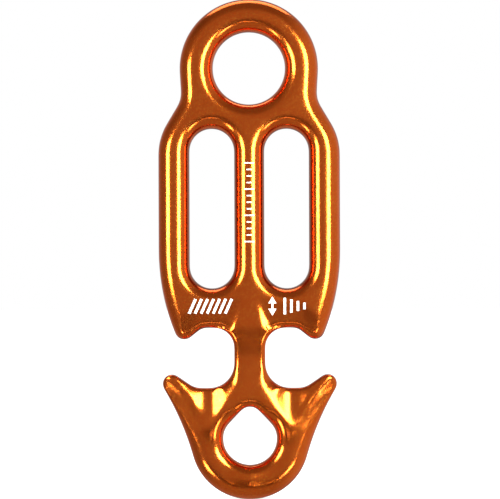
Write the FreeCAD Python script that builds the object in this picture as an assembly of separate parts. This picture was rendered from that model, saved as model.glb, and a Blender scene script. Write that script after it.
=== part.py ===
import FreeCAD, Part
import math
import os

# One-piece belay descender, forged from aluminium, upright as it hangs in use.
# Millimetres and degrees. X is the width, Z the length, and the front face looks to -Y.
# The origin is the middle of the upper ring's hole, half way through the plate.

# Plate
thickness = 12.0

# Upper ring
ring_bore = 21.0
ring_wall = 9.6
ring_flat = 1.2               # level metal between the ring's rounded edges
waist_radius = 7.3            # hollow in the outline under the ring
waist_flank = 5.5             # straight stretch from the ring to the hollow
flare_flank = 6.1             # straight stretch from the hollow to the shoulder

# Rope slots and the rails beside them
slot_width = 13.0
slot_length = 46.4
slot_web = 9.35               # metal between the ring's hole and a slot
web_flat = 0.95               # level part of it, between the rounded edges
centre_rail = 8.7
side_rail = 9.0
rail_flat = 0.3               # level metal left on the centre rail
side_flat = 0.6               # and on a side rail
shoulder_inset = 1.9          # the shoulder's middle, inward from the middle of the slot's end
shoulder_drop = 1.0           # and below it
side_radius = 63.9            # long curve of the side below the slots' middle
side_curve_rise = 11.1        # its start, above the slots' lower ends

# Notches, neck and lobes
plate_web = 11.4              # metal between a slot and the notch below it
notch_height = 17.5
notch_level = 2.5             # level stretch of its floor
notch_round = 2.7             # edge rounding along its top
notch_inner_radius = 5.8
notch_outer_radius = 3.5
lobe_drop = 3.4               # how far a lobe hangs below the top of the notch
lobe_radius = 2.8
lobe_flank = 3.2              # straight stretch from the lobe to the top of the notch
neck_width = 9.0
neck_round = 3.6
foot_radius = 7.2             # corner from the neck to the head

# Head with two horns and the lower eye
head_height = 32.35           # from the floor of the notch down to the lowest point
flank_radius = 82.0           # slightly hollow side of the head
horn_rise = 4.0               # how far a horn stands above the floor of the notch
horn_radius = 2.7
horn_round = 2.5
horn_flank = 4.4              # straight stretch on the inside of a horn
horn_root_radius = 5.8
head_round = 1.8              # edge rounding along the floor of the notch
eye_wall = 9.35               # metal beside the eye
eye_flat = 1.15               # level part of it
eye_lift = 0.65               # the eye's middle, above the middle of the head's round end
eye_radius = 7.85             # lower curve of the eye
eye_side_radius = 5.8
eye_apex_radius = 3.3
eye_rise = 9.15               # from the middle of the lower curve up to the eye's top
eye_apex_round = 1.8

# Horns, which thin out towards their tips on both faces
taper_reach = 17.0            # from the head's middle to where the taper starts on its flank
taper_drop = 15.2             # and from the floor of the notch down to there
taper_turn = 42               # turn of its start line from level
taper_slope = 5

# Rope grooves in both faces of the head, which run down between the horns and the eye
groove_inset = 7.65           # from the neck's side to the middle of a groove
groove_depth = 2.5            # at the floor of the notch
groove_climb = 12             # slope of its floor, up to the head's face
groove_inner_radius = 4.8     # its round floor, on the side of the neck
groove_outer_radius = 9.3     # and on the side of the horn
groove_inner_wall = 19.5      # slope of its wall beside the neck
groove_outer_wall = 17        # slope of its wall below the horn
mouth_wall = 12               # the same wall, flared at the floor of the notch
mouth_length = 2.7

# Shallow dishes in both faces of the plate, which leave the neck standing as a rib
dish_inset = 3.15             # from the neck's side to the middle of a dish's shallow end
dish_half_floor = 5.65
dish_radius = 1.2             # corner between floor and walls
dish_wall = 20                # slope of its wall beside the neck
dish_fade = 6                 # slope of its side towards the lobe
dish_climb = 4                # slope of its floor, towards the notch
dish_spread_share = 0.43      # sideways run of the dish for each millimetre down
dish_gap = 2.1                # from a slot down to the dish's shallow end

# Cutting shapes
overrun = 6.0                 # how far a cutting shape passes through what it cuts
shortest = 1e-4               # two points closer than this are one
tiny = 1e-6

# Edge roundings, each as large as the metal beside it allows
slot_round = (centre_rail - rail_flat) / 2
side_round = side_rail - side_flat - slot_round
bore_round = slot_web - web_flat - slot_round
ring_round = ring_wall - ring_flat - bore_round
eye_round = eye_wall - eye_flat - side_round

# Places that follow from the sizes above
ring_radius = ring_bore / 2 + ring_wall
half_depth = thickness / 2
slot_radius = slot_width / 2
slot_x = centre_rail / 2 + slot_radius
half_width = slot_x + slot_radius + side_rail
slot_top_z = -math.sqrt((ring_bore / 2 + slot_web + slot_radius) ** 2 - slot_x ** 2)
slot_low_z = slot_top_z - slot_length + slot_width
notch_top_z = slot_low_z - slot_radius - plate_web
notch_floor_z = notch_top_z - notch_height
lowest_z = notch_floor_z - head_height
head_radius = eye_radius + eye_wall
eye_z = lowest_z + head_radius + eye_lift
groove_x = neck_width / 2 + groove_inset
dish_x = neck_width / 2 + dish_inset


def vector(x, z, y=0):
    """A point of the XZ plane, moved to the depth y."""
    return FreeCAD.Vector(x, y, z)


def along(distance, known):
    """The other leg of a right triangle."""
    return math.sqrt(distance ** 2 - known ** 2)


class Circle:
    """A round stretch of an outline, turned clockwise, or the other way if hollow.

    Its edge's rounding changes towards the one at its end, if that differs.
    """

    def __init__(self, x, z, radius, rounding, end_rounding=None, hollow=False):
        self.x, self.z = x, z
        self.turn = -radius if hollow else radius
        self.rounding = rounding
        self.end_rounding = end_rounding or rounding

    def point(self, angle):
        return self.x + self.turn * math.cos(angle), self.z + self.turn * math.sin(angle)


def shared_normal(first, second):
    """Direction of the outward normal of the line that touches two circles."""
    dx, dz = second.x - first.x, second.z - first.z
    share = (first.turn - second.turn) / math.hypot(dx, dz)
    return math.atan2(dz, dx) + math.acos(max(-1, min(1, share)))


def outline(circles, start_angle=None, end_angle=None):
    """Tangent lines and arcs around the circles, closed unless end angles are given.

    Returns the edges, and the rounding wanted at each end point.
    """
    closed = start_angle is None
    count = len(circles)
    links = [shared_normal(circles[i], circles[(i + 1) % count])
             for i in range(count if closed else count - 1)]
    arrive = [links[-1] if closed else start_angle] + links[:count - 1]
    leave = links[:count] if closed else links + [end_angle]
    edges, wanted = [], []
    reached = circles[-1].point(links[-1]) if closed else circles[0].point(start_angle)
    for i, circle in enumerate(circles):
        turned = math.remainder(leave[i] - arrive[i], 2 * math.pi)
        if turned * circle.turn > tiny:
            turned -= math.copysign(2 * math.pi, circle.turn)
        start, middle = circle.point(arrive[i]), circle.point(arrive[i] + turned / 2)
        if math.dist(reached, start) < shortest:
            start = reached
        else:
            edges.append(Part.LineSegment(vector(*reached), vector(*start)).toShape())
        reached = circle.point(leave[i])
        edges.append(Part.Arc(vector(*start), vector(*middle), vector(*reached)).toShape())
        wanted += [(start, circle.rounding), (reached, circle.end_rounding)]
    return edges, wanted


def bridge(first, second, radius, rounding, first_flank=0, second_flank=0):
    """The hollow circle between two others, on the right of the way from one to the next.

    A flank is the straight stretch between the hollow and that circle.
    """
    dx, dz = second.x - first.x, second.z - first.z
    gap = math.hypot(dx, dz)
    to_first = math.hypot(radius + first.turn, first_flank)
    to_second = math.hypot(radius + second.turn, second_flank)
    forward = (to_first ** 2 - to_second ** 2 + gap ** 2) / (2 * gap)
    aside = along(to_first, forward)
    x = first.x + (forward * dx - aside * dz) / gap
    z = first.z + (forward * dz + aside * dx) / gap
    return Circle(x, z, radius, rounding, hollow=True)


def shoulder_and_side():
    """The outline beside the slots: from the ring's waist down to the long side curve."""
    ring = Circle(0, 0, ring_radius, ring_round)
    shoulder = Circle(slot_x - shoulder_inset, slot_top_z - shoulder_drop,
                      slot_radius + side_rail + shoulder_inset, side_round)
    waist = bridge(ring, shoulder, waist_radius, side_round, waist_flank, flare_flank)
    side = Circle(half_width - side_radius, slot_low_z - slot_radius + side_curve_rise,
                  side_radius, side_round)
    return [ring, waist, shoulder, side]


def notch(side):
    """The outline from the lobe at the end of the side curve to the neck."""
    lobe_z = notch_top_z - lobe_drop + lobe_radius
    lobe_x = side.x + along(side_radius - lobe_radius, side.z - lobe_z)
    lobe = Circle(lobe_x, lobe_z, lobe_radius, notch_round)
    corner_z = notch_top_z - notch_outer_radius
    corner_x = lobe_x - along(math.hypot(lobe_flank, lobe_radius + notch_outer_radius),
                              lobe_z - corner_z)
    corner = Circle(corner_x, corner_z, notch_outer_radius, notch_round, hollow=True)
    inner = Circle(neck_width / 2 + notch_inner_radius, notch_top_z - notch_inner_radius,
                   notch_inner_radius, notch_round, neck_round, hollow=True)
    return [lobe, corner, inner]


def head():
    """The outline from the neck around the horn to the lowest point."""
    foot = Circle(neck_width / 2 + foot_radius, notch_floor_z + foot_radius,
                  foot_radius, neck_round, head_round, hollow=True)
    root = Circle(foot.x + notch_level, notch_floor_z + horn_root_radius,
                  horn_root_radius, head_round, hollow=True)
    horn_z = notch_floor_z + horn_rise - horn_radius
    horn_x = root.x + along(math.hypot(horn_flank, horn_radius + horn_root_radius),
                            root.z - horn_z)
    horn = Circle(horn_x, horn_z, horn_radius, horn_round)
    base = Circle(0, lowest_z + head_radius, head_radius, side_round)
    return [foot, root, horn, bridge(horn, base, flank_radius, None), base]


def half_outline():
    """Right half of the outer outline, from the top of the ring to the lowest point."""
    upper = shoulder_and_side()
    return outline(upper + notch(upper[-1]) + head(), math.pi / 2, -math.pi / 2)


def outer_wire():
    """The whole outer outline."""
    edges, wanted = half_outline()
    mirrored = [edge.mirror(vector(0, 0), FreeCAD.Vector(1, 0, 0)) for edge in edges]
    return Part.Wire(Part.__sortEdges__(edges + mirrored)), wanted


def slot_wire(side):
    """A rope slot with full round ends."""
    ends = [Circle(side * slot_x, slot_top_z, slot_radius, slot_round),
            Circle(side * slot_x, slot_low_z, slot_radius, slot_round)]
    edges, wanted = outline(ends)
    return Part.Wire(edges), wanted


def eye_wire():
    """The lower eye, a rounded triangle that stands on its broad side."""
    low = Circle(0, eye_z, eye_radius, eye_round)
    reach = eye_radius - eye_side_radius
    right = Circle(reach, eye_z, eye_side_radius, eye_round)
    left = Circle(-reach, eye_z, eye_side_radius, eye_round)
    apex = Circle(0, eye_z + eye_rise - eye_apex_radius, eye_apex_radius, eye_apex_round)
    edges, wanted = outline([apex, right, low, left])
    return Part.Wire(edges), wanted


def forged_body():
    """The plate with its openings and all its edges rounded."""
    outer, wanted = outer_wire()
    holes = [Part.Wire(Part.makeCircle(ring_bore / 2, vector(0, 0), FreeCAD.Vector(0, 1, 0)))]
    wanted = wanted + [((ring_bore / 2, 0), bore_round)]
    for wire, more in (slot_wire(1), slot_wire(-1), eye_wire()):
        holes.append(wire)
        wanted += more
    face = Part.makeFace([outer] + holes, "Part::FaceMakerBullseye")
    face.translate(FreeCAD.Vector(0, -half_depth, 0))
    return face.extrude(FreeCAD.Vector(0, thickness, 0)), wanted


def rounded(solid, wanted):
    """The plate with the wanted rounding on its front and back edges."""
    wanted = [item for item in wanted if item[1] is not None]

    def radius_at(place):
        return min(wanted, key=lambda item: math.dist((abs(place.x), place.z),
                                                      (abs(item[0][0]), item[0][1])))[1]

    document = FreeCAD.newDocument("descender")
    plate = document.addObject("Part::Feature", "plate")
    plate.Shape = solid
    feature = document.addObject("Part::Fillet", "edges")
    feature.Base = plate
    chosen = []
    for number, edge in enumerate(solid.Edges, 1):
        if all(abs(abs(end.Y) - half_depth) < shortest for end in edge.Vertexes):
            if abs(edge.Vertexes[0].Y - edge.Vertexes[-1].Y) < shortest:
                first = edge.valueAt(edge.FirstParameter)
                last = edge.valueAt(edge.LastParameter)
                chosen.append((number, radius_at(first), radius_at(last)))
    feature.Edges = chosen
    document.recompute()
    return feature.Shape


def scoop_profile(x, z, depth, half_floor, inner, outer):
    """Level cross-section of a scoop in the front face, at the height z.

    Inner and outer give the corner radius and the slope of each wall, the inner one on the
    side of the middle.
    """
    top = depth + overrun

    def place(across, out):
        return vector(x + across, z, depth - half_depth - out)

    def wall(sign, radius, angle):
        slope = math.radians(angle)
        side, rise = radius * math.sin(slope), radius * (1 - math.cos(slope))
        half_side, half_rise = radius * math.sin(slope / 2), radius * (1 - math.cos(slope / 2))
        foot = place(sign * (half_floor + side), rise)
        brink = place(sign * (half_floor + side + (top - rise) / math.tan(slope)), top)
        round_part = Part.Arc(place(sign * half_floor, 0),
                              place(sign * (half_floor + half_side), half_rise), foot)
        return brink, [round_part.toShape(), Part.LineSegment(foot, brink).toShape()]

    inner_brink, edges = wall(-1, *inner)
    outer_brink, more = wall(1, *outer)
    edges += more + [Part.LineSegment(inner_brink, outer_brink).toShape()]
    if half_floor:
        edges.append(Part.LineSegment(place(-half_floor, 0), place(half_floor, 0)).toShape())
    return Part.Wire(Part.__sortEdges__(edges))


def groove_tools():
    """A rope groove: a flared mouth, then a floor that climbs to the head's face."""
    climb = math.tan(math.radians(groove_climb))
    inner = (groove_inner_radius, groove_inner_wall)
    mouth = scoop_profile(groove_x, notch_floor_z, groove_depth, 0,
                          inner, (groove_outer_radius, mouth_wall))
    throat = scoop_profile(groove_x, notch_floor_z - mouth_length,
                           groove_depth - mouth_length * climb, 0,
                           inner, (groove_outer_radius, groove_outer_wall))
    run = (groove_depth + overrun) / climb
    return [Part.Face(mouth).extrude(vector(0, overrun, overrun * climb)),
            Part.makeLoft([mouth, throat], True, True),
            Part.Face(throat).extrude(vector(0, -run, -run * climb))]


def horn_taper():
    """What the taper takes off the front of the right horn, from the groove to its tip."""
    reach = head_height + overrun
    block = Part.makeBox(reach, overrun, 2 * reach)
    block.translate(FreeCAD.Vector(0, -overrun, -reach))
    block.rotate(vector(0, 0), FreeCAD.Vector(0, 0, 1), taper_slope)
    block.rotate(vector(0, 0), FreeCAD.Vector(0, 1, 0), -taper_turn)
    block.translate(vector(taper_reach, notch_floor_z - taper_drop, -half_depth))
    horn = Part.makeBox(half_width, half_depth + overrun, head_height + notch_height / 2)
    horn.translate(vector(groove_x, lowest_z, -half_depth - overrun))
    return block.common(horn)


def dish_tools():
    """A dish that deepens from below a slot down to the notch."""
    start_z = slot_low_z - slot_radius - dish_gap
    section = scoop_profile(dish_x, start_z, 0, dish_half_floor,
                            (dish_radius, dish_wall), (dish_radius, dish_fade))
    run = plate_web - dish_gap + overrun
    climb = run * math.tan(math.radians(dish_climb))
    return [Part.Face(section).extrude(vector(dish_spread_share * run, -run, climb))]


def all_quarters(shapes):
    """The shapes on the front right, and their mirror images."""
    middle = vector(0, 0)
    right = shapes + [shape.mirror(middle, FreeCAD.Vector(0, 1, 0)) for shape in shapes]
    return right + [shape.mirror(middle, FreeCAD.Vector(1, 0, 0)) for shape in right]


def descender():
    """The plate with its tapered horns, rope grooves and dishes."""
    solid, wanted = forged_body()
    tools = [horn_taper()] + groove_tools() + dish_tools()
    return rounded(solid, wanted).cut(all_quarters(tools))


os.makedirs("parts", exist_ok=True)
descender().exportStep("parts/forged_body.step")
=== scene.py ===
"""A forged, anodised belay descender, dressed for a studio photograph.

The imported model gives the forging's exact shape. Here its surface gets the soft skin of a
tumbled forging, its anodised colour and its printed marks, and the studio gets its lights.
Everything is in metres: Z is the length, X the width, and the front face looks to -Y.
"""

import logging
import math
from dataclasses import dataclass, field
from enum import Enum

import bpy
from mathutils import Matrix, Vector


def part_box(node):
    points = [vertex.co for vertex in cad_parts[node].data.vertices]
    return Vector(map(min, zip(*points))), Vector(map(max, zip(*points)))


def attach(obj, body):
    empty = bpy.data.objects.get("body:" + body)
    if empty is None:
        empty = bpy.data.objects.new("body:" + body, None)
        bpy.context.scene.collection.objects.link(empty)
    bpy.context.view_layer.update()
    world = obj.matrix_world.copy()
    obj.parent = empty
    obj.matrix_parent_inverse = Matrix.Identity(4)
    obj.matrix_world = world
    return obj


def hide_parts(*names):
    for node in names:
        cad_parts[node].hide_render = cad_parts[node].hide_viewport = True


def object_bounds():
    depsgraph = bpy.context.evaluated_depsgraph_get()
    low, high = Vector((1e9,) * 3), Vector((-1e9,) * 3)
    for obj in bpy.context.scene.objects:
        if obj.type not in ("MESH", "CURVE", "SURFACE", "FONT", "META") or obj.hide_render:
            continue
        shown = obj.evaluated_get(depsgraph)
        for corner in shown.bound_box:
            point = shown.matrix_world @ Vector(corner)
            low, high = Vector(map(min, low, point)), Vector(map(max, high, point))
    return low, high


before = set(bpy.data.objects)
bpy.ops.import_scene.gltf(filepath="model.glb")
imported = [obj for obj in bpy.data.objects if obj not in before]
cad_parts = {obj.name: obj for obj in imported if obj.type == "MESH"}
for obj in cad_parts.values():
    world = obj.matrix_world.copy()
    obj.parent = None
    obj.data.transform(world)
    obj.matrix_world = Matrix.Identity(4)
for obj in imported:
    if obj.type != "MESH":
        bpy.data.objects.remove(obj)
CAD_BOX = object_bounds()

MM = 0.001
LOG = logging.getLogger("descender")


def frame_half_depth(node: str) -> float:
    """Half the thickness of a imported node, in metres."""
    low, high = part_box(node)
    return (high.y - low.y) / 2


def ease(share: float) -> float:
    """Rise softly from 0 to 1.

    Args:
        share: Where between the two, cut off beyond them.

    Returns:
        The eased share.
    """
    share = max(0.0, min(1.0, share))
    return share * share * (3.0 - 2.0 * share)


def deselect() -> None:
    """Leave nothing selected, because operators act on all that is."""
    bpy.ops.object.select_all(action="DESELECT")


def activate(piece: bpy.types.Object) -> None:
    """Select one piece alone.

    Args:
        piece: The object that the next operators act on.
    """
    deselect()
    piece.select_set(True)
    bpy.context.view_layer.objects.active = piece


def apply_modifier(piece: bpy.types.Object, kind: str, **settings: object) -> None:
    """Add a modifier and apply it at once.

    Args:
        piece: The object that gets the modifier.
        kind: The modifier's type, such as REMESH.
        settings: Its properties by name.
    """
    activate(piece)
    modifier = piece.modifiers.new(kind.lower(), kind)
    for name, value in settings.items():
        setattr(modifier, name, value)
    bpy.ops.object.modifier_apply(modifier=modifier.name)


class Value:
    """A socket that takes part in arithmetic, each step of which adds a Math node."""

    def __init__(self, shader: "Shader", socket: bpy.types.NodeSocket) -> None:
        """Wrap a socket.

        Args:
            shader: The material's nodes.
            socket: An output socket that carries a number.
        """
        self.shader = shader
        self.socket = socket

    def _math(self, operation: str, first: object, second: object) -> "Value":
        """One Math node.

        Args:
            operation: Its operation, such as ADD.
            first: A Value or a number.
            second: A Value or a number.

        Returns:
            The node's result.
        """
        return self.shader.node("ShaderNodeMath", {"operation": operation}, {0: first, 1: second})

    def __add__(self, other: object) -> "Value":
        """Sum."""
        return self._math("ADD", self, other)

    __radd__ = __add__

    def __mul__(self, other: object) -> "Value":
        """Product."""
        return self._math("MULTIPLY", self, other)

    __rmul__ = __mul__

    def __sub__(self, other: object) -> "Value":
        """Difference."""
        return self._math("SUBTRACT", self, other)

    def __rsub__(self, other: object) -> "Value":
        """Difference, taken from a number."""
        return self._math("SUBTRACT", other, self)


@dataclass(frozen=True)
class Noise:
    """How an uneven pattern runs over a surface."""

    per_metre: float
    detail: float
    roughness: float = 0.5


class Shader:
    """The nodes of one material."""

    def __init__(self, name: str) -> None:
        """Start a material with nothing but its output.

        Args:
            name: The material's name.
        """
        self.owner = bpy.data.materials.new(name)
        self._clear("ShaderNodeOutputMaterial")

    def _clear(self, end: str) -> None:
        """Leave only an output node in the owner's tree.

        Args:
            end: The output node's type.
        """
        self.owner.use_nodes = True
        self.tree = self.owner.node_tree
        self.tree.nodes.clear()
        self.end = self.tree.nodes.new(end)

    @classmethod
    def of_world(cls, world: bpy.types.World) -> "Shader":
        """Start on a world instead of a material.

        Args:
            world: The world, whose nodes are replaced.

        Returns:
            Its nodes.
        """
        shader = cls.__new__(cls)
        shader.owner = world
        shader._clear("ShaderNodeOutputWorld")
        return shader

    def node(self, kind: str, settings: dict | None = None, inputs: dict | None = None,
             output: object = 0) -> Value:
        """Add any node.

        Args:
            kind: The node's type.
            settings: Its properties, set first.
            inputs: Numbers, colours or Values by socket name or index.
            output: The name or index of the socket to hand back.

        Returns:
            That output socket, ready for arithmetic.
        """
        made = self.tree.nodes.new(kind)
        for name, value in (settings or {}).items():
            setattr(made, name, value)
        for name, value in (inputs or {}).items():
            self.feed(made.inputs[name], value)
        return Value(self, made.outputs[output])

    def feed(self, socket: bpy.types.NodeSocket, value: object) -> None:
        """Give a socket its value or its link.

        Args:
            socket: The input socket.
            value: A Value, which is linked, or a number or colour.
        """
        if isinstance(value, Value):
            self.tree.links.new(value.socket, socket)
        else:
            socket.default_value = value

    def place(self) -> Value:
        """The point on the piece, in metres."""
        return self.node("ShaderNodeTexCoord", output="Object")

    def axis(self, vector: Value, name: str) -> Value:
        """One of a vector's three numbers, by its name X, Y or Z."""
        return self.node("ShaderNodeSeparateXYZ", {}, {0: vector}, output=name)

    def noise(self, place: Value, noise: Noise) -> Value:
        """Vary from 0 to 1 over the piece.

        Args:
            place: The point on the piece.
            noise: How fine and how rough the pattern is.

        Returns:
            The pattern.
        """
        return self.node("ShaderNodeTexNoise", {}, {
            "Vector": place, "Scale": noise.per_metre, "Detail": noise.detail,
            "Roughness": noise.roughness})

    def blend(self, share: Value, first: object, second: object) -> Value:
        """Mix two colours.

        Args:
            share: How much of the second one shows.
            first: A colour or a Value.
            second: A colour or a Value.

        Returns:
            The colour between them.
        """
        return self.node("ShaderNodeMix", {"data_type": "RGBA"}, {
            0: share, 6: first, 7: second}, output=2)

    def smooth(self, value: Value, start: float, stop: float) -> Value:
        """Rise softly from 0 to 1.

        Args:
            value: What the rise follows.
            start: Where it leaves 0.
            stop: Where it reaches 1.

        Returns:
            The rise.
        """
        return self.node("ShaderNodeMapRange", {"interpolation_type": "SMOOTHSTEP"}, {
            "Value": value, "From Min": start, "From Max": stop})

    def finish(self, surface: Value) -> bpy.types.Material | bpy.types.World:
        """Link the shader to the output.

        Args:
            surface: The last shader's output.

        Returns:
            The finished material or world.
        """
        self.feed(self.end.inputs["Surface"], surface)
        return self.owner


@dataclass(frozen=True)
class PaintedSlotShade:
    """Where painted shade goes on the walls inside the two slots: near the middle, between two
    heights.
    """

    side: float = 20.0 * MM
    top: float = -21.0 * MM
    foot: float = -77.0 * MM
    margin: float = 1.0 * MM                     # they fade out over this much
    upright: float = 0.05                        # a wall's normal has a square depth below this,
    facing: float = 0.5                          # and a face's one above this

    def share(self, shader: Shader, place: Value) -> Value:
        """Find them on the piece.

        Args:
            shader: The material's nodes.
            place: The point on the piece.

        Returns:
            1 on the walls, where the shade is painted, and 0 elsewhere.
        """
        depth = shader.axis(shader.node("ShaderNodeNewGeometry", output="Normal"), "Y")
        across = shader.axis(place, "X")
        down = shader.axis(place, "Z") * -1.0
        on_wall = 1.0 - shader.smooth(depth * depth, self.upright, self.facing)
        near = 1.0 - shader.smooth(across * across, self.side ** 2,
                                   (self.side + self.margin) ** 2)
        below_top = shader.smooth(down, -self.top, self.margin - self.top)
        above_foot = 1.0 - shader.smooth(down, -self.foot, self.margin - self.foot)
        return on_wall * near * below_top * above_foot


@dataclass(frozen=True)
class AnodisedAluminium:
    """Tumbled aluminium under a dyed, sealed oxide skin.

    Three layers make its glow: bright metal that mirrors through the dye, the haze of the
    tumbled surface, which is yellower, and the red light that the dye itself sends back.
    """

    deep: tuple = (0.74, 0.095, 0.004, 1.0)      # what the metal mirrors where the dye lies thick
    pale: tuple = (0.86, 0.145, 0.008, 1.0)      # and where it lies thin
    slot_wall_shade: tuple = (0.34, 0.045, 0.002, 1.0)      # painted shade: a darker metal colour on the walls inside the slots
    # the mask that says where the slots' walls get the painted shade
    walls: PaintedSlotShade = PaintedSlotShade()
    roughness: float = 0.05                      # of the smoothest metal
    grain_roughness: float = 0.10                # what the grain adds at most
    cloud_roughness: float = 0.06                # and the drift of the dye
    haze: tuple = (1.00, 0.620, 0.100, 1.0)
    haze_roughness: float = 0.21
    haze_share: float = 0.03
    glitter_share: float = 0.16                  # more of it where the grain stands up,
    glitter_start: float = 0.50                  # which is from here
    glitter_full: float = 0.72                   # to here in its pattern
    dye: tuple = (0.70, 0.046, 0.005, 1.0)
    dye_roughness: float = 0.6
    dye_share: float = 0.03
    coat: float = 0.25                           # the sealed skin's clear shine
    coat_roughness: float = 0.12
    coat_index: float = 1.5
    grain: Noise = Noise(2400.0, 2.0, 0.6)       # fine peening left by the tumbling
    cloud: Noise = Noise(90.0, 3.0, 0.55)        # slow drift of the dye
    grain_height: float = 0.020 * MM

    def material(self) -> bpy.types.Material:
        """Build the node material.

        Returns:
            The anodised finish.
        """
        shader = Shader("anodised_skin")
        place = shader.place()
        grain = shader.noise(place, self.grain)
        cloud = shader.noise(place, self.cloud)
        relief = shader.node("ShaderNodeBump", {}, {
            "Height": grain, "Strength": 1.0, "Distance": self.grain_height}, output="Normal")
        mirror = self.mirror(shader, place, grain, cloud, relief)
        haze = shader.node("ShaderNodeBsdfPrincipled", {}, {
            "Base Color": self.haze, "Metallic": 1.0, "Roughness": self.haze_roughness,
            "Normal": relief})
        dye = shader.node("ShaderNodeBsdfPrincipled", {}, {
            "Base Color": self.dye, "Roughness": self.dye_roughness, "Specular IOR Level": 0.0})
        glitter = shader.smooth(grain, self.glitter_start, self.glitter_full)
        hazy = glitter * self.glitter_share + self.haze_share
        skin = shader.node("ShaderNodeMixShader", {}, {0: hazy, 1: mirror, 2: haze})
        surface = shader.node("ShaderNodeMixShader", {}, {0: self.dye_share, 1: skin, 2: dye})
        return shader.finish(surface)

    def mirror(self, shader: Shader, place: Value, grain: Value, cloud: Value,
               relief: Value) -> Value:
        """Build the bright metal under its coat, with painted shade on the walls inside the
        slots.

        Args:
            shader: The material's nodes.
            place: The point on the piece.
            grain: The peening's pattern.
            cloud: The dye's pattern.
            relief: The normal that follows the peening.

        Returns:
            The metal's shader.
        """
        dyed = shader.blend(cloud * 0.5 + grain * 0.5, self.deep, self.pale)
        # Painted shade: the metal turns darker on the walls inside the slots.
        tint = shader.blend(self.walls.share(shader, place), dyed, self.slot_wall_shade)
        roughness = grain * self.grain_roughness + cloud * self.cloud_roughness + self.roughness
        return shader.node("ShaderNodeBsdfPrincipled", {}, {
            "Base Color": tint, "Metallic": 1.0, "Roughness": roughness,
            "Coat Weight": self.coat, "Coat Roughness": self.coat_roughness,
            "Coat IOR": self.coat_index, "Normal": relief})


@dataclass(frozen=True)
class MarkingInk:
    """White pad-printing ink, a little uneven and thin at its edges."""

    colour: tuple = (0.86, 0.85, 0.82, 1.0)
    shade: tuple = (0.70, 0.68, 0.64, 1.0)
    roughness: float = 0.5
    mottle: Noise = Noise(1800.0, 3.0)

    def material(self) -> bpy.types.Material:
        """Build the node material.

        Returns:
            The ink.
        """
        shader = Shader("marking_ink")
        mottle = shader.noise(shader.place(), self.mottle)
        tint = shader.blend(mottle, self.shade, self.colour)
        surface = shader.node("ShaderNodeBsdfPrincipled", {}, {
            "Base Color": tint, "Roughness": self.roughness})
        return shader.finish(surface)


@dataclass(frozen=True)
class Softening:
    """A stretch of the forging whose edges the dies left rounder than the rest.

    Its strength fades out over a margin at both ends and towards both sides.
    """

    name: str
    low: float
    high: float
    half_width: float
    margin: float
    passes: int

    def weight(self, point: Vector) -> float:
        """How strongly a point is softened.

        Args:
            point: A point on the forging.

        Returns:
            A share from 0 to 1.
        """
        inside = min(point.z - self.low, self.high - point.z, self.half_width - abs(point.x))
        return ease(inside / self.margin)


@dataclass(frozen=True)
class NeckEdges:
    """The neck's edges: crisp along its middle, and rounder where it joins the head."""

    start: float = -75.0 * MM                    # the neck, from here
    end: float = -97.0 * MM                      # to here,
    side: float = 4.5 * MM                       # and half its width
    corner_z: float = -81.1 * MM                 # centres of the rounds at its ends
    foot_z: float = -85.6 * MM
    corner_radius: float = 5.8 * MM
    foot_radius: float = 7.2 * MM
    solid_rounding: float = 3.6 * MM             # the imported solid's rounding along the neck
    rounding: float = 1.5 * MM                   # what it becomes here,
    head_rounding: float = 4.2 * MM              # at the head,
    notch_rounding: float = 1.8 * MM             # and along the notches' floors
    rounder_from: float = -87.0 * MM             # it grows from here
    rounder_to: float = -93.5 * MM               # to here
    skin_share: float = 0.8                      # what lies deeper than this share isn't skin

    def inset(self, x: float, z: float) -> tuple[float, Vector]:
        """Measure how far inside the neck's outline a point lies.

        Args:
            x: The point's distance from the middle.
            z: Its height.

        Returns:
            The distance, and the direction that leads straight inwards.
        """
        if z > self.corner_z:
            centre_z, radius = self.corner_z, self.corner_radius
        elif z < self.foot_z:
            centre_z, radius = self.foot_z, self.foot_radius
        else:
            return self.side - x, Vector((-1.0, 0.0, 0.0))
        arm = Vector((x - self.side - radius, 0.0, z - centre_z))
        return arm.length - radius, arm.normalized()

    def roundings(self, x: float, z: float) -> tuple[float, float]:
        """Look up how round the edge is.

        Args:
            x: The distance from the middle.
            z: The height.

        Returns:
            The radius that the edge gets, and the one that it has.
        """
        share = ease((self.rounder_from - z) / (self.rounder_from - self.rounder_to))
        radius = self.rounding + share * (self.head_rounding - self.rounding)
        spread = ease((x - self.side) / self.foot_radius)
        radius += spread * (self.notch_rounding - radius)
        solid = self.solid_rounding + spread * (radius - self.solid_rounding)
        return radius, max(radius, solid)

    def move(self, point: Vector, half: float) -> None:
        """Move a point on the skin to the edge's new rounding.

        Args:
            point: The point, which is changed.
            half: Half the forging's thickness.
        """
        x = abs(point.x)
        if x > self.side + self.foot_radius or not self.end < point.z < self.start:
            return
        inset, inwards = self.inset(x, point.z)
        radius, solid = self.roundings(x, point.z)
        spoke = Vector((inset - solid, abs(point.y) - (half - solid)))
        if spoke.x < 0.0 < spoke.y and spoke.length > self.skin_share * solid:
            spoke *= radius / max(spoke.length, radius)
            shift = inwards * (spoke.x + radius - inset)
            point.x += shift.x if point.x > 0.0 else -shift.x
            point.z += shift.z
            point.y = math.copysign(spoke.y + half - radius, point.y)


@dataclass(frozen=True)
class NeckDish:
    """The shallow hollow in both faces of the neck."""

    start: float = -73.5 * MM                    # the faces fall back from here
    fallen: float = -85.0 * MM                   # to here,
    rising: float = -86.0 * MM                   # and rise again from here
    end: float = -96.0 * MM                      # to here
    deep: float = 0.9 * MM
    narrow: float = 5.0 * MM                     # the hollow is whole this far out
    wide: float = 11.0 * MM                      # and has faded out here

    def depth(self, point: Vector) -> float:
        """How far a face falls back at a point.

        Args:
            point: A point on the forging.

        Returns:
            The depth.
        """
        fallen = ease((self.start - point.z) / (self.start - self.fallen))
        risen = ease((self.rising - point.z) / (self.rising - self.end))
        aside = ease((abs(point.x) - self.narrow) / (self.wide - self.narrow))
        return self.deep * fallen * (1.0 - risen) * (1.0 - aside)


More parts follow.
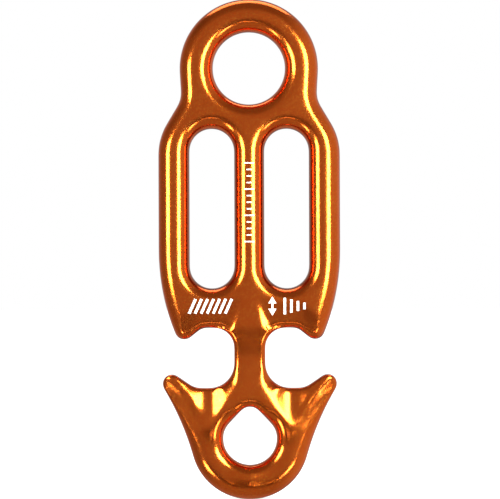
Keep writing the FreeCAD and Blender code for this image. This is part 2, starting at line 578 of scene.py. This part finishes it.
@dataclass(frozen=True)
class HornRidge:
    """The ridge that climbs at 45 degrees to each horn, and outside which the head falls back."""

    top: float = -84.0 * MM                      # the head lies below this height
    x: float = 19.9 * MM                         # a point on the ridge
    z: float = -92.6 * MM
    fall: float = 0.9 * MM                       # the head falls by this much
    width: float = 3.4 * MM                      # over this distance,
    widening: float = 0.4                        # which grows towards the middle

    def depth(self, point: Vector) -> float:
        """How far a face falls back at a point.

        Args:
            point: A point on the forging.

        Returns:
            The depth.
        """
        if point.z >= self.top:
            return 0.0
        beyond = (abs(point.x) - self.x - point.z + self.z) / math.sqrt(2)
        width = self.width + self.widening * max(0.0, self.x - abs(point.x))
        return self.fall * ease(beyond / width)


@dataclass
class Forging:
    """The one-piece body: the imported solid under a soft, even forging skin."""

    node: str = "forged_body"
    cell: float = 0.445 * MM                     # size of the skin's faces
    weld: float = 0.001 * MM                     # points closer than this are one
    passes: int = 16                             # passes that ease its ridges
    core: float = 4.3 * MM                       # what lies deeper inside moves less
    edges: NeckEdges = NeckEdges()
    dish: NeckDish = NeckDish()
    ridge: HornRidge = HornRidge()
    neck: Softening = Softening("neck", -99.0 * MM, -87.0 * MM, 11.0 * MM, 3.0 * MM, 16)
    head: Softening = Softening("head", -114.0 * MM, -92.5 * MM, 24.0 * MM, 2.5 * MM, 17)
    eye: Softening = Softening("eye", -111.0 * MM, -99.0 * MM, 14.0 * MM, 3.0 * MM, 26)
    finish: AnodisedAluminium = field(default_factory=AnodisedAluminium)

    def skin(self) -> bpy.types.Object:
        """Copy the solid, close it and give it an even skin.

        Returns:
            The piece, its place in its mesh.
        """
        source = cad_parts[self.node]
        piece = bpy.data.objects.new("forging", source.data.copy())
        bpy.context.scene.collection.objects.link(piece)
        piece.data.materials.clear()
        activate(piece)
        bpy.ops.object.mode_set(mode="EDIT")
        bpy.ops.mesh.select_all(action="SELECT")
        bpy.ops.mesh.remove_doubles(threshold=self.weld)
        bpy.ops.object.mode_set(mode="OBJECT")
        apply_modifier(piece, "REMESH", mode="VOXEL", voxel_size=self.cell)
        apply_modifier(piece, "SMOOTH", factor=0.5, iterations=self.passes)
        return piece

    def forge(self, piece: bpy.types.Object) -> None:
        """Give the neck and the head the forms that the dies left.

        Args:
            piece: The forging.
        """
        half = frame_half_depth(self.node)
        for vertex in piece.data.vertices:
            point = vertex.co
            self.edges.move(point, half)
            depth = self.dish.depth(point) + self.ridge.depth(point)
            depth *= ease(abs(point.y) / self.core)
            point.y = math.copysign(abs(point.y) - depth, point.y)
        for region in (self.neck, self.head, self.eye):
            self.soften(piece, region)

    @staticmethod
    def soften(piece: bpy.types.Object, region: Softening) -> None:
        """Round one stretch of the forging further.

        Args:
            piece: The forging.
            region: The stretch.
        """
        group = piece.vertex_groups.new(name=region.name)
        for vertex in piece.data.vertices:
            weight = region.weight(vertex.co)
            if weight > 0.0:
                group.add([vertex.index], weight, "REPLACE")
        apply_modifier(piece, "SMOOTH", factor=0.5, iterations=region.passes,
                       vertex_group=region.name)

    def build(self) -> bpy.types.Object:
        """Shape and dress the forging.

        Returns:
            The finished piece.
        """
        piece = self.skin()
        self.forge(piece)
        activate(piece)
        bpy.ops.object.shade_smooth()
        piece.data.materials.append(self.finish.material())
        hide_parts(self.node)
        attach(piece, "root")
        return piece


class Pointing(Enum):
    """The way an arrow head points, as its turn in radians."""

    UP = 0.0
    DOWN = math.pi


@dataclass
class PrintedMarks:
    """Plain white marks on the front: a scale on the rail, a hatch and an arrow on the web."""

    forging: bpy.types.Object
    ink: MarkingInk = field(default_factory=MarkingInk)
    made: list[bpy.types.Object] = field(default_factory=list)
    stroke: float = 0.36 * MM
    film: float = 0.03 * MM                      # thickness of the ink
    ahead: float = 20.0 * MM                     # the marks start this far in front of it
    scale_top: float = -27.5 * MM                # the scale's first tick
    scale_step: float = 1.9 * MM
    scale_ticks: int = 13
    long_every: int = 4                          # one tick in so many is long
    short_tick: float = 1.5 * MM
    long_tick: float = 2.9 * MM
    web_level: float = -69.0 * MM                # middle of the marks on the web
    hatch_left: float = -16.6 * MM
    hatch_step: float = 1.75 * MM
    hatch_bars: int = 7
    hatch_bar: tuple = (0.75 * MM, 4.6 * MM)
    hatch_lean: float = math.radians(24)
    arrow_x: float = 6.6 * MM
    arrow_height: float = 5.6 * MM
    arrow_shaft: float = 0.576 * MM
    arrow_head: float = 1.35 * MM                # radius of its triangular heads
    head_cuts: int = 3
    steps: int = 4
    steps_left: float = 10.2 * MM
    steps_pitch: float = 1.9 * MM
    steps_stroke: float = 0.72 * MM
    first_step_share: float = 0.85               # of the arrow's height
    step_fall_share: float = 0.17

    def bar(self, x: float, z: float, width: float, height: float, lean: float = 0.0) -> None:
        """Add one bar in front of the plate, fine enough to follow its surface.

        Args:
            x: Its middle, across.
            z: Its middle, up.
            width: Its size across.
            height: Its size up.
            lean: Its turn about its middle, in radians.
        """
        columns, rows = (max(1, round(size / self.stroke)) for size in (width, height))
        deselect()
        bpy.ops.mesh.primitive_grid_add(x_subdivisions=columns, y_subdivisions=rows, size=1.0)
        bpy.ops.object.mode_set(mode="EDIT")
        bpy.ops.transform.resize(value=(width, height, 1.0), center_override=(0.0, 0.0, 0.0))
        bpy.ops.transform.rotate(value=lean, orient_axis="Z", center_override=(0.0, 0.0, 0.0))
        bpy.ops.object.mode_set(mode="OBJECT")
        self.stand(bpy.context.object, x, z)

    def head(self, x: float, z: float, pointing: Pointing) -> None:
        """Add one triangular arrow head.

        Args:
            x: Its middle, across.
            z: Its middle, up.
            pointing: The way it points.
        """
        deselect()
        bpy.ops.mesh.primitive_circle_add(vertices=3, radius=self.arrow_head, fill_type="NGON")
        bpy.ops.object.mode_set(mode="EDIT")
        bpy.ops.transform.rotate(value=pointing.value, orient_axis="Z",
                                 center_override=(0.0, 0.0, 0.0))
        bpy.ops.mesh.quads_convert_to_tris()
        bpy.ops.mesh.subdivide(number_cuts=self.head_cuts)
        bpy.ops.object.mode_set(mode="OBJECT")
        self.stand(bpy.context.object, x, z)

    def stand(self, mark: bpy.types.Object, x: float, z: float) -> None:
        """Turn a flat mark upright, facing front, and keep it.

        Args:
            mark: The mark, flat about the origin.
            x: Its place across.
            z: Its place up.
        """
        mark.rotation_euler = (math.radians(90), 0.0, 0.0)
        mark.location = (x, -self.ahead, z)
        activate(mark)
        bpy.ops.object.transform_apply(location=True, rotation=True, scale=True)
        self.made.append(mark)

    def scale(self) -> None:
        """Ticks along the centre rail, short and long."""
        for number in range(self.scale_ticks):
            width = self.short_tick if number % self.long_every else self.long_tick
            self.bar(0.0, self.scale_top - number * self.scale_step, width, self.stroke)

    def hatch(self) -> None:
        """Leaning bars on the left of the web."""
        for number in range(self.hatch_bars):
            self.bar(self.hatch_left + number * self.hatch_step, self.web_level,
                     *self.hatch_bar, self.hatch_lean)

    def arrow(self) -> None:
        """An upright double arrow on the right of the web, and falling steps beside it."""
        reach = self.arrow_height / 2 - self.arrow_head
        self.bar(self.arrow_x, self.web_level, self.arrow_shaft, 2 * reach)
        self.head(self.arrow_x, self.web_level + reach, Pointing.UP)
        self.head(self.arrow_x, self.web_level - reach, Pointing.DOWN)
        for number in range(self.steps):
            share = self.first_step_share - self.step_fall_share * number
            self.bar(self.steps_left + number * self.steps_pitch, self.web_level,
                     self.steps_stroke, self.arrow_height * share)

    def build(self) -> bpy.types.Object:
        """Draw the marks, lay them on the forging and dress them.

        Returns:
            The finished piece.
        """
        self.scale()
        self.hatch()
        self.arrow()
        activate(self.made[0])
        for mark in self.made:
            mark.select_set(True)
        bpy.ops.object.join()
        piece = bpy.context.object
        piece.name = "printed_marks"
        apply_modifier(piece, "SHRINKWRAP", target=self.forging, wrap_method="PROJECT",
                       use_project_y=True, use_positive_direction=True,
                       use_negative_direction=False, offset=self.film / 2)
        apply_modifier(piece, "SOLIDIFY", thickness=self.film, offset=0.0)
        piece.data.materials.append(self.ink.material())
        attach(piece, "root")
        return piece


@dataclass(frozen=True)
class Panel:
    """A rectangular light that the plate mirrors and the camera doesn't see.

    Its size is width and height in metres, and its glare a multiple of white paper's.
    """

    name: str
    place: tuple
    away: tuple                                  # the direction from what it lights towards it
    size: tuple
    glare: float

    @classmethod
    def upright(cls, name: str, azimuth: float, reach: float, level: float, size: tuple,
                glare: float) -> "Panel":
        """Plan a softbox that stands in front of the plate, turned towards it.

        Args:
            name: The light's name.
            azimuth: Degrees to the right of the camera's direction.
            reach: Distance from the plate in metres.
            level: Height of its middle, counted from the ring's.
            size: Width and height in metres.
            glare: Its brightness.

        Returns:
            The softbox.
        """
        turn = math.radians(azimuth)
        across, forward = math.sin(turn), -math.cos(turn)
        return cls(name, (reach * across, reach * forward, level), (across, forward, 0.0),
                   size, glare)

    def hang(self) -> bpy.types.Object:
        """Make the light.

        Returns:
            The light.
        """
        data = bpy.data.lights.new(self.name, "AREA")
        data.shape = "RECTANGLE"
        data.size, data.size_y = self.size
        data.energy = self.glare * math.pi * data.size * data.size_y
        light = bpy.data.objects.new(self.name, data)
        bpy.context.scene.collection.objects.link(light)
        light.location = self.place
        light.rotation_euler = Vector(self.away).to_track_quat("Z", "Y").to_euler()
        light.visible_camera = False
        return light


@dataclass(frozen=True)
class PaleFloor:
    """Matt, nearly white floor that brightens to white away from the object."""

    dark: tuple = (0.78, 0.78, 0.78, 1.0)
    light: tuple = (0.82, 0.82, 0.82, 1.0)
    fibre: Noise = Noise(40.0, 4.0)
    roughness: float = 0.9
    glow: float = 1.1
    behind: tuple = (-0.05, 0.1)                 # depths between which it starts to glow
    around: tuple = (0.08, 0.25)                 # and distances, in metres

    def material(self) -> bpy.types.Material:
        """Build the node material.

        Returns:
            The floor's finish.
        """
        shader = Shader("studio_floor")
        place = shader.place()
        tint = shader.blend(shader.noise(place, self.fibre), self.dark, self.light)
        reach = shader.node("ShaderNodeVectorMath", {"operation": "LENGTH"}, {0: place},
                            output="Value")
        behind = shader.smooth(shader.axis(place, "Y"), *self.behind)
        around = shader.smooth(reach, *self.around)
        glow = shader.node("ShaderNodeMath", {"operation": "MAXIMUM"}, {0: behind, 1: around})
        surface = shader.node("ShaderNodeBsdfPrincipled", {}, {
            "Base Color": tint, "Roughness": self.roughness, "Emission Color": glow,
            "Emission Strength": self.glow})
        return shader.finish(surface)


@dataclass(frozen=True)
class Room:
    """What the plate mirrors around it, where paper white is 1; the camera sees white.

    Each side changes the front's brightness, softly between two shares of its direction.
    """

    front: float = 0.33
    behind: float = 0.09
    behind_shares: tuple = (0.0, 0.8)
    above: float = -0.15
    above_shares: tuple = (0.3, 0.8)
    right: float = 0.24                          # a pale wall on the right
    left: float = -0.10                          # and a dark one on the left
    side_shares: tuple = (0.4, 0.9)
    below: float = -0.22                         # a dark table's edge, in front only
    below_shares: tuple = (0.08, 0.26)
    floor_shares: tuple = (0.4, 0.75)            # under it the floor is paler again
    beside_shares: tuple = (0.25, 0.6)

    def light(self, tree: Shader) -> Value:
        """Add up the room's brightness.

        Args:
            tree: The world's nodes.

        Returns:
            The brightness in each direction.
        """
        toward = tree.node("ShaderNodeTexCoord", output="Generated")
        height = tree.axis(toward, "Z")
        rightward = tree.axis(toward, "X")
        leftward = rightward * -1.0
        downward = height * -1.0
        beside = tree.smooth(rightward, *self.beside_shares) \
            + tree.smooth(leftward, *self.beside_shares)
        table = tree.smooth(downward, *self.below_shares) * (1.0 - beside) \
            * (1.0 - tree.smooth(downward, *self.floor_shares))
        return tree.smooth(tree.axis(toward, "Y"), *self.behind_shares) * self.behind \
            + table * self.below \
            + tree.smooth(height, *self.above_shares) * self.above \
            + tree.smooth(rightward, *self.side_shares) * self.right \
            + tree.smooth(leftward, *self.side_shares) * self.left + self.front

    def build(self) -> None:
        """Make the world."""
        world = bpy.data.worlds.new("room")
        bpy.context.scene.world = world
        tree = Shader.of_world(world)
        seen = tree.node("ShaderNodeLightPath", output="Is Camera Ray")
        strength = tree.node("ShaderNodeMix", {}, {0: seen, 2: self.light(tree), 3: 1.0})
        background = tree.node("ShaderNodeBackground", {}, {
            "Color": (1.0, 1.0, 1.0, 1.0), "Strength": strength})
        tree.finish(background)


@dataclass
class Studio:
    """Pale floor, softboxes, room and the camera of a catalogue photograph."""

    frame_width: float = 145.3 * MM              # what the picture spans at the plate
    centre: tuple = (0.17 * MM, 0.0, -52.6 * MM)
    distance: float = 1.9
    tilt: float = math.radians(0.2)
    sensor: float = 36.0
    clip_end: float = 20.0
    floor_gap: float = 0.5 * MM                  # the floor lies just under the lowest point
    floor_size: float = 12.0
    panels: tuple = (
        Panel.upright("left_strip", -42.5, 0.27, -0.031, (0.100, 0.122), 18.0),
        Panel.upright("left_low", -42.5, 0.27, -0.2365, (0.100, 0.058), 11.0),
        Panel.upright("right_box", 28.0, 0.33, -0.011, (0.120, 0.162), 24.0),
        Panel.upright("right_low", 28.0, 0.33, -0.2225, (0.120, 0.045), 11.0),
        Panel("top_box", (0.0, 0.2, 0.5), (0.0, 0.4, 1.0), (0.7, 0.3), 2.5),
        Panel("low_fill", (0.0, -0.5, -0.27), (0.0, -1.0, -0.42), (0.12, 0.02), 4.0),
    )

    def camera(self) -> bpy.types.Object:
        """Place the camera straight in front of the plate.

        Returns:
            The camera.
        """
        data = bpy.data.cameras.new("camera")
        data.sensor_width = self.sensor
        data.lens = self.sensor * self.distance / self.frame_width
        data.clip_end = self.clip_end
        camera = bpy.data.objects.new("camera", data)
        bpy.context.scene.collection.objects.link(camera)
        camera.location = Vector(self.centre) - Vector((0.0, self.distance, 0.0))
        camera.rotation_euler = (math.radians(90), self.tilt, 0.0)
        bpy.context.scene.camera = camera
        return camera

    def floor(self) -> bpy.types.Object:
        """Lay the floor.

        Returns:
            The floor.
        """
        deselect()
        bpy.ops.mesh.primitive_plane_add(size=self.floor_size)
        floor = bpy.context.object
        floor.name = "floor"
        floor.location.z = CAD_BOX[0].z - self.floor_gap
        floor.visible_glossy = False
        floor.visible_shadow = False
        floor.data.materials.append(PaleFloor().material())
        return floor

    def build(self) -> None:
        """Set the whole studio up."""
        self.camera()
        for panel in self.panels:
            panel.hang()
        self.floor()
        Room().build()
        bpy.context.scene.view_settings.view_transform = "Standard"


def main() -> None:
    """Build the studio and the dressed descender, and log each piece."""
    logging.basicConfig(level=logging.INFO, format="%(name)s: %(message)s")
    Studio().build()
    forging = Forging().build()
    for piece in (forging, PrintedMarks(forging).build()):
        LOG.info("%s: %d faces", piece.name, len(piece.data.polygons))
    bpy.context.view_layer.update()


if __name__ == "__main__":
    main()
